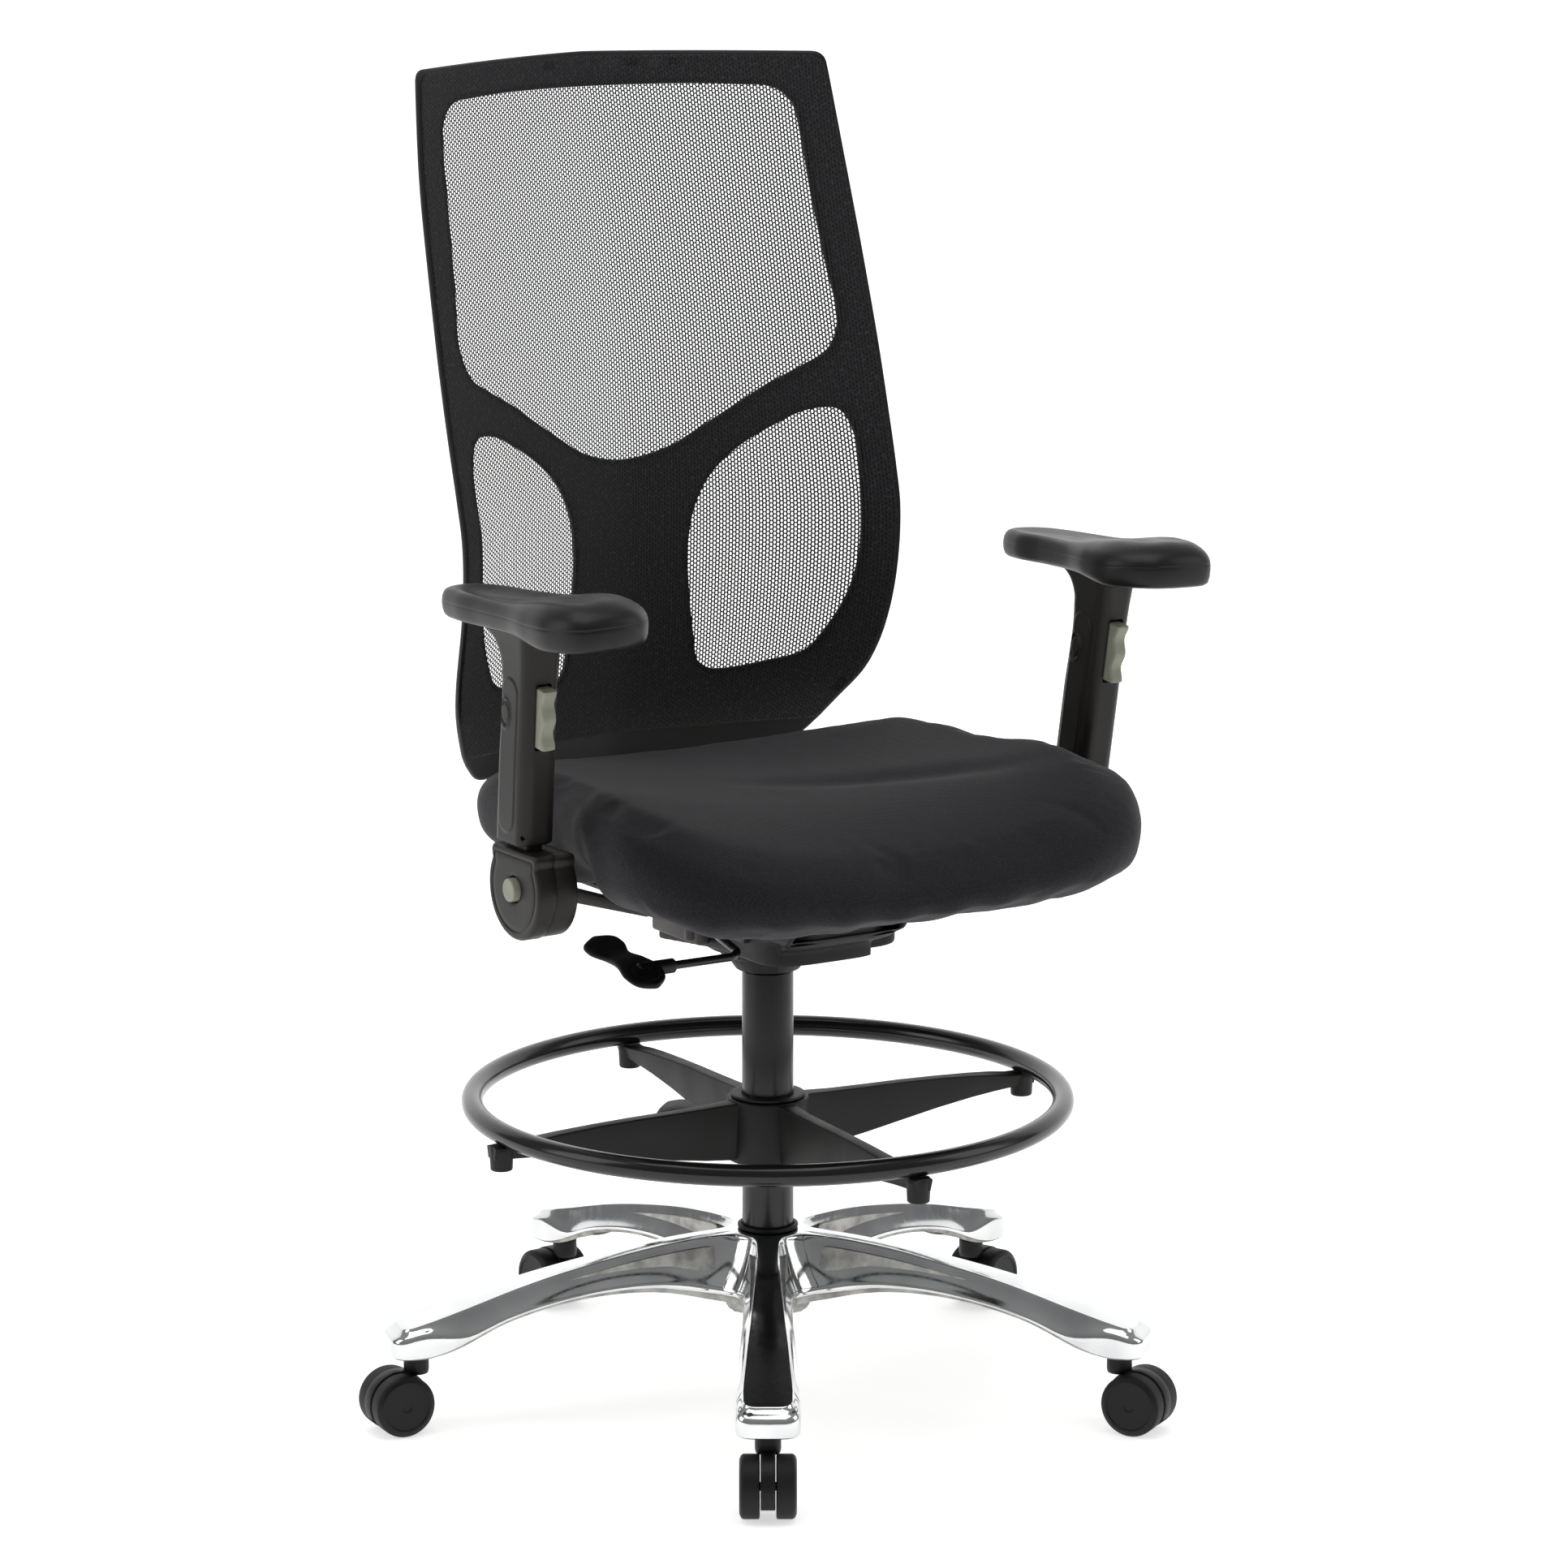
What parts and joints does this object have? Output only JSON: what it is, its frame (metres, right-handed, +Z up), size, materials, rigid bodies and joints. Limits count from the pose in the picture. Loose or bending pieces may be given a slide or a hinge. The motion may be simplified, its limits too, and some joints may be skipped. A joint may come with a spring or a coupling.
{
  "type": "drafting chair",
  "caption": "Drafting chair with contoured padded seat, tall mesh back, flip-up height-adjustable arms, foot ring, gas lift and polished star base on twin-wheel casters.",
  "frame": {"origin": "on the floor under the middle of the chair's bounding box; the column axis stands 7 mm to +X and 25 mm to -Y of it", "axes": "+Z up, the chair faces -Y, +X is the sitter's left"},
  "size_m": [0.784, 0.7647, 1.291],
  "materials": {
    "polished_aluminium": "die-cast, polished",
    "black_painted_steel": "satin black powder coat",
    "black_nylon": "fine moulded texture",
    "zinc_steel": "bright zinc plate",
    "black_steel": "black oxide",
    "black_polyurethane": "soft self-skinned foam, satin",
    "grey_plastic": "satin",
    "seat_fabric": "fine knit",
    "back_mesh_fabric": "open woven mesh"
  },
  "bodies": {
    "base": {"star_base": "polished_aluminium", "column_tube": "black_painted_steel", "column_collar": "black_nylon", "column_bushing": "black_nylon", "thrust_bearing": "zinc_steel"},
    "footring": {"footring_tube": "black_painted_steel", "footring_hub": "black_nylon", "footring_bushing": "black_nylon"},
    "footring_knob": {"footring_knob": "black_nylon"},
    "piston": {"piston_rod": "zinc_steel", "retaining_clip": "zinc_steel"},
    "lift": {"gas_cylinder": "black_painted_steel", "tilt_housing": "black_nylon", "tilt_pin": "zinc_steel", "recline_pin": "zinc_steel", "tension_spring": "zinc_steel"},
    "valve": {"valve_button": "zinc_steel"},
    "tension_knob": {"tension_knob": "black_nylon"},
    "lift_lever": {"lift_lever_rod": "black_painted_steel", "lift_lever_paddle": "black_nylon"},
    "seat": {"seat_plate": "black_steel", "seat_pan": "black_nylon", "seat_cushion": "seat_fabric", "left_arm_bracket": "black_steel", "right_arm_bracket": "black_steel", "left_arm_pivot_pin": "zinc_steel", "right_arm_pivot_pin": "zinc_steel"},
    "backrest": {"back_bar": "black_steel", "back_frame": "black_nylon", "back_mesh": "back_mesh_fabric"},
    "left_arm": {"left_arm_post": "black_steel", "left_arm_knuckle_outer": "black_nylon", "left_arm_knuckle_inner": "black_nylon"},
    "left_sleeve": {"left_arm_sleeve": "black_nylon", "left_arm_pad": "black_polyurethane"},
    "left_height_lever": {"left_height_lever": "grey_plastic"},
    "left_flip_button": {"left_flip_button": "grey_plastic"},
    "right_arm": {"right_arm_post": "black_steel", "right_arm_knuckle_outer": "black_nylon", "right_arm_knuckle_inner": "black_nylon"},
    "right_sleeve": {"right_arm_sleeve": "black_nylon", "right_arm_pad": "black_polyurethane"},
    "right_height_lever": {"right_height_lever": "grey_plastic"},
    "right_flip_button": {"right_flip_button": "grey_plastic"},
    "caster_1": {"caster_fork_1": "black_nylon"},
    "caster_wheels_1": {"caster_wheel_left_1": "black_nylon", "caster_wheel_right_1": "black_nylon"},
    "caster_2": {"caster_fork_2": "black_nylon"},
    "caster_wheels_2": {"caster_wheel_left_2": "black_nylon", "caster_wheel_right_2": "black_nylon"},
    "caster_3": {"caster_fork_3": "black_nylon"},
    "caster_wheels_3": {"caster_wheel_left_3": "black_nylon", "caster_wheel_right_3": "black_nylon"},
    "caster_4": {"caster_fork_4": "black_nylon"},
    "caster_wheels_4": {"caster_wheel_left_4": "black_nylon", "caster_wheel_right_4": "black_nylon"},
    "caster_5": {"caster_fork_5": "black_nylon"},
    "caster_wheels_5": {"caster_wheel_left_5": "black_nylon", "caster_wheel_right_5": "black_nylon"}
  },
  "joints": [
    {"name": "footring_slide", "type": "slide", "parent": "base", "child": "footring", "axis": [0, 0, 1], "range_m": [-0.06, 0.1]},
    {"name": "footring_knob_turn", "type": "hinge", "parent": "footring", "child": "footring_knob", "pos_m": [0.007, -0.025, 0.276], "axis": [-0.6691, 0.7431, 0], "continuous": true},
    {"name": "seat_swivel", "type": "hinge", "parent": "base", "child": "piston", "pos_m": [0.007, -0.025, 0.3], "axis": [0, 0, 1], "continuous": true},
    {"name": "seat_height", "type": "slide", "parent": "piston", "child": "lift", "axis": [0, 0, 1], "range_m": [0, 0.2]},
    {"name": "valve_press", "type": "slide", "parent": "lift", "child": "valve", "axis": [0, 0, -1], "range_m": [0, 0.003]},
    {"name": "lift_lever_turn", "type": "hinge", "parent": "lift", "child": "lift_lever", "pos_m": [-0.055, -0.067, 0.497], "axis": [-1, 0, 0], "range_deg": [0, 12], "stiffness_Nm_per_rad": 0.5, "springref_deg": -17.19},
    {"name": "tension_knob_turn", "type": "hinge", "parent": "lift", "child": "tension_knob", "pos_m": [0.087, -0.001, 0.486], "axis": [1, 0, 0], "continuous": true},
    {"name": "back_recline", "type": "hinge", "parent": "lift", "child": "backrest", "pos_m": [0.007, 0.045, 0.484], "axis": [-1, 0, 0], "range_deg": [0, 20], "stiffness_Nm_per_rad": 150, "springref_deg": -11.46},
    {"name": "seat_tilt", "type": "hinge", "parent": "lift", "child": "seat", "pos_m": [0.007, -0.085, 0.488], "axis": [-1, 0, 0], "range_deg": [0, 10]},
    {"name": "left_arm_flip", "type": "hinge", "parent": "seat", "child": "left_arm", "pos_m": [0.316, -0.111, 0.563], "axis": [-1, 0, 0], "range_deg": [0, 90]},
    {"name": "left_arm_height", "type": "slide", "parent": "left_arm", "child": "left_sleeve", "axis": [0.0349, -0.1391, 0.9897], "range_m": [0, 0.075]},
    {"name": "left_height_lever_press", "type": "slide", "parent": "left_sleeve", "child": "left_height_lever", "axis": [0, 0.9903, 0.1392], "range_m": [0, 0.002], "stiffness_N_per_m": 600, "springref_m": -0.003},
    {"name": "left_flip_button_press", "type": "slide", "parent": "left_arm", "child": "left_flip_button", "axis": [-1, 0, 0], "range_m": [0, 0.003], "stiffness_N_per_m": 600, "springref_m": -0.003},
    {"name": "right_arm_flip", "type": "hinge", "parent": "seat", "child": "right_arm", "pos_m": [-0.302, -0.111, 0.563], "axis": [-1, 0, 0], "range_deg": [0, 90]},
    {"name": "right_arm_height", "type": "slide", "parent": "right_arm", "child": "right_sleeve", "axis": [-0.0349, -0.1391, 0.9897], "range_m": [0, 0.075]},
    {"name": "right_height_lever_press", "type": "slide", "parent": "right_sleeve", "child": "right_height_lever", "axis": [0, 0.9903, 0.1392], "range_m": [0, 0.002], "stiffness_N_per_m": 600, "springref_m": -0.003},
    {"name": "right_flip_button_press", "type": "slide", "parent": "right_arm", "child": "right_flip_button", "axis": [1, 0, 0], "range_m": [0, 0.003], "stiffness_N_per_m": 600, "springref_m": -0.003},
    {"name": "caster_swivel_1", "type": "hinge", "parent": "base", "child": "caster_1", "pos_m": [-0.18165, -0.32691, 0.07], "axis": [0, 0, 1], "continuous": true},
    {"name": "caster_roll_1", "type": "hinge", "parent": "caster_1", "child": "caster_wheels_1", "pos_m": [-0.19278, -0.34471, 0.03], "axis": [0.848, -0.5299, 0], "continuous": true},
    {"name": "caster_swivel_2", "type": "hinge", "parent": "base", "child": "caster_2", "pos_m": [0.23583, -0.29771, 0.07], "axis": [0, 0, 1], "continuous": true},
    {"name": "caster_roll_2", "type": "hinge", "parent": "caster_2", "child": "caster_wheels_2", "pos_m": [0.24665, -0.31571, 0.03], "axis": [0.8572, 0.515, 0], "continuous": true},
    {"name": "caster_swivel_3", "type": "hinge", "parent": "base", "child": "caster_3", "pos_m": [0.33708, 0.10836, 0.07], "axis": [0, 0, 1], "continuous": true},
    {"name": "caster_roll_3", "type": "hinge", "parent": "caster_3", "child": "caster_wheels_3", "pos_m": [0.35655, 0.11623, 0.03], "axis": [-0.3746, 0.9272, 0], "continuous": true},
    {"name": "caster_swivel_4", "type": "hinge", "parent": "base", "child": "caster_4", "pos_m": [-0.01783, 0.33013, 0.07], "axis": [0, 0, 1], "continuous": true},
    {"name": "caster_roll_4", "type": "hinge", "parent": "caster_4", "child": "caster_wheels_4", "pos_m": [-0.0193, 0.35108, 0.03], "axis": [-0.9976, -0.0698, 0], "continuous": true},
    {"name": "caster_swivel_5", "type": "hinge", "parent": "base", "child": "caster_5", "pos_m": [-0.33842, 0.06112, 0.07], "axis": [0, 0, 1], "continuous": true},
    {"name": "caster_roll_5", "type": "hinge", "parent": "caster_5", "child": "caster_wheels_5", "pos_m": [-0.35935, 0.06295, 0.03], "axis": [-0.0872, -0.9962, 0], "continuous": true}
  ],
  "couplings": [
    {"joint": "valve_press", "follows": "lift_lever_turn", "m_per_rad": 0.0143},
    {"joint": "seat_tilt", "follows": "back_recline", "ratio": 0.5}
  ]
}
